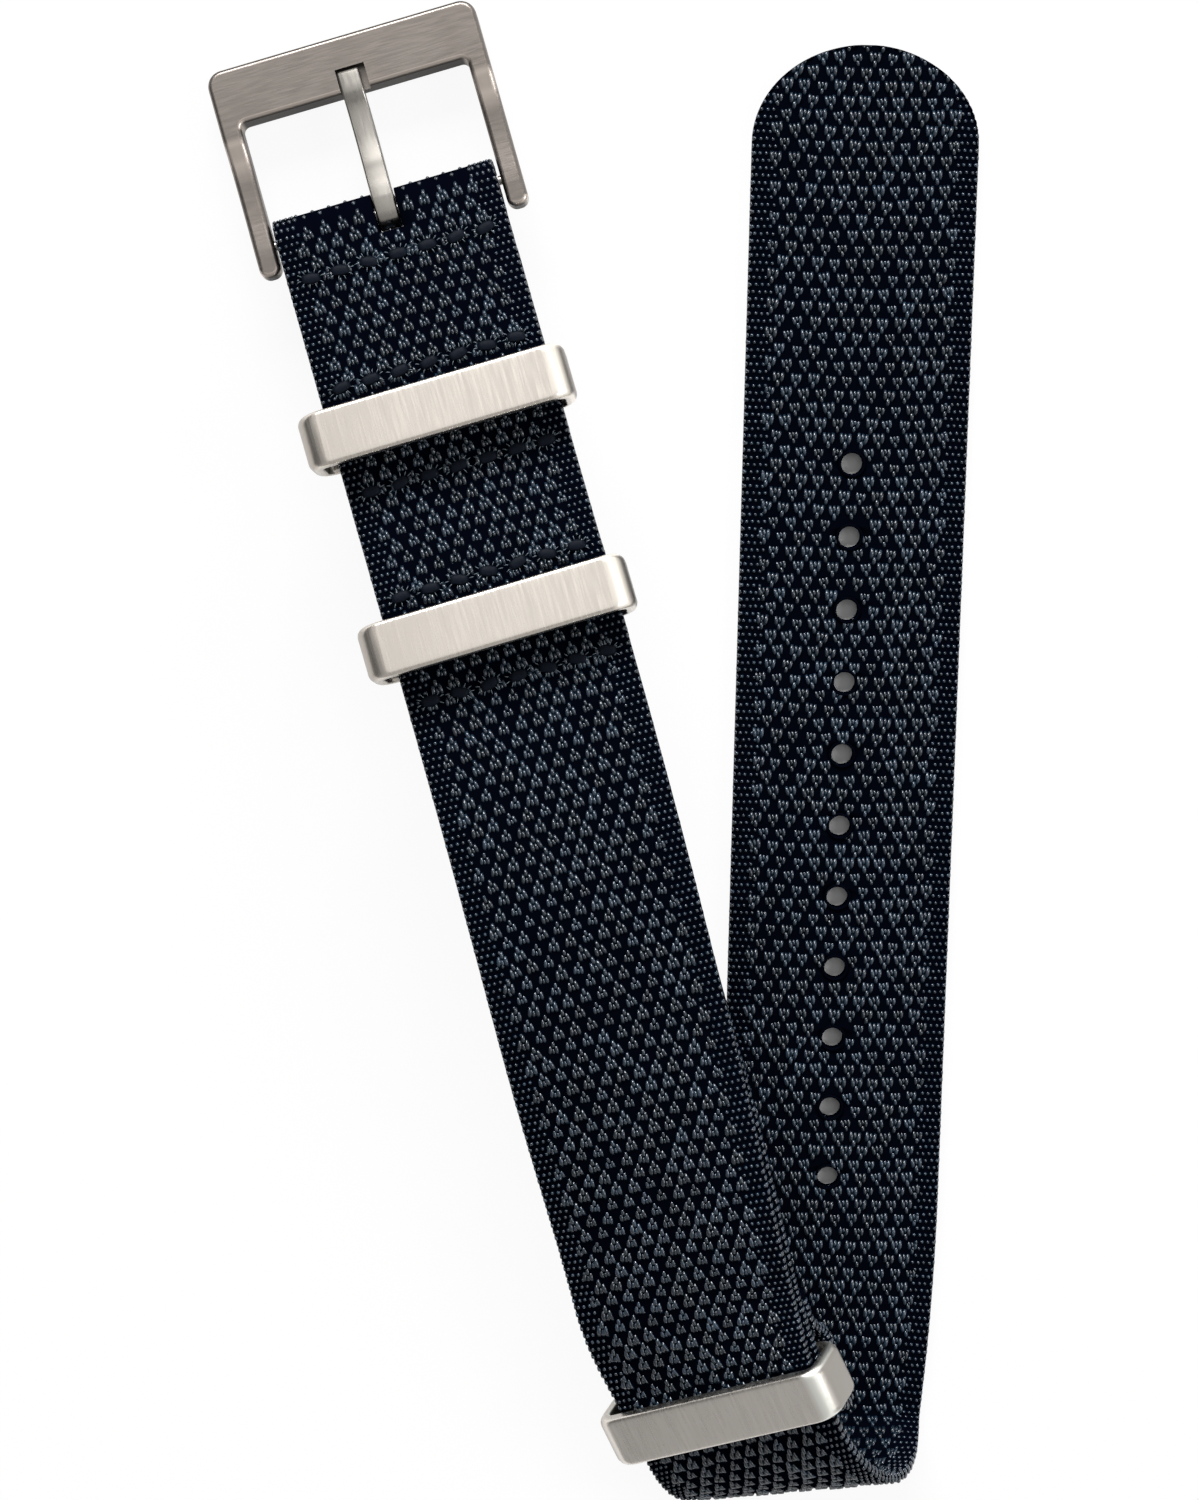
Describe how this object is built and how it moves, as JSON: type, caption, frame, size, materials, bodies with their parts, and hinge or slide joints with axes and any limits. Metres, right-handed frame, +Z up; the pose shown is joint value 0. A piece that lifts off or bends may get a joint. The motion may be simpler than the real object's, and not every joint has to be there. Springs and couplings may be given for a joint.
{
  "type": "nato watch strap",
  "caption": "Pass-through woven watch strap with stitched webbing, pin buckle on a spring bar and three flat steel keepers, lying in a loose fold.",
  "frame": {"origin": "centre of the bounding box in plan, on the table that the tail lies on", "axes": "+Y towards the buckle and the tail's rounded tip, +Z up from the table, +X across to the tail's side"},
  "size_m": [0.067, 0.1348, 0.0196],
  "materials": {
    "webbing": "woven navy",
    "thread": "navy thread",
    "buckle_steel": "brushed, warm grey",
    "keeper_steel": "brushed, warm grey",
    "bar_steel": "plain steel"
  },
  "bodies": {
    "strap": {"main_strap": "webbing", "keeper_strap": "webbing", "fold_seam": "thread", "upper_seam_above": "thread", "upper_seam_below": "thread", "middle_seam_above": "thread", "middle_seam_below": "thread", "end_loop_seam": "thread"},
    "buckle": {"buckle_frame": "buckle_steel"},
    "tongue": {"buckle_tongue": "buckle_steel"},
    "bar": {"spring_bar_tube": "bar_steel", "spring_bar_spring": "bar_steel"},
    "tip_left": {"spring_bar_tip_left": "bar_steel"},
    "tip_right": {"spring_bar_tip_right": "bar_steel"},
    "upper_ring": {"upper_keeper": "keeper_steel"},
    "middle_ring": {"middle_keeper": "keeper_steel"},
    "end_ring": {"end_keeper": "keeper_steel"}
  },
  "joints": [
    {"name": "buckle_swing", "type": "hinge", "parent": "strap", "child": "buckle", "pos_m": [-0.01793, 0.04928, 0.00429], "axis": [0.9611, 0.2761, 0], "range_deg": [-90, 15]},
    {"name": "tongue_lift", "type": "hinge", "parent": "buckle", "child": "tongue", "pos_m": [-0.01793, 0.04928, 0.00429], "axis": [0.9611, 0.2761, 0], "range_deg": [0, 75]},
    {"name": "bar_spin", "type": "hinge", "parent": "strap", "child": "bar", "pos_m": [-0.01793, 0.04928, 0.00429], "axis": [0.9611, 0.2761, 0], "continuous": true},
    {"name": "tip_left_press", "type": "slide", "parent": "bar", "child": "tip_left", "axis": [0.9611, 0.2761, 0], "range_m": [0, 0.00125], "stiffness_N_per_m": 500, "springref_m": -0.002, "deforming": ["spring_bar_spring"]},
    {"name": "tip_right_press", "type": "slide", "parent": "bar", "child": "tip_right", "axis": [-0.9611, -0.2761, 0], "range_m": [0, 0.00125], "stiffness_N_per_m": 500, "springref_m": -0.002, "deforming": ["spring_bar_spring"]},
    {"name": "upper_keeper_tilt", "type": "hinge", "parent": "strap", "child": "upper_ring", "pos_m": [-0.01331, 0.03206, 0.00784], "axis": [0.96, 0.28, 0], "range_deg": [-5, 5]},
    {"name": "middle_keeper_tilt", "type": "hinge", "parent": "strap", "child": "middle_ring", "pos_m": [-0.00815, 0.01448, 0.01177], "axis": [0.9588, 0.284, 0], "range_deg": [-5, 5]},
    {"name": "end_keeper_tilt", "type": "hinge", "parent": "strap", "child": "end_ring", "pos_m": [0.01249, -0.05459, 0.00975], "axis": [0.8264, 0.361, 0.4321], "range_deg": [-4, 4]}
  ]
}
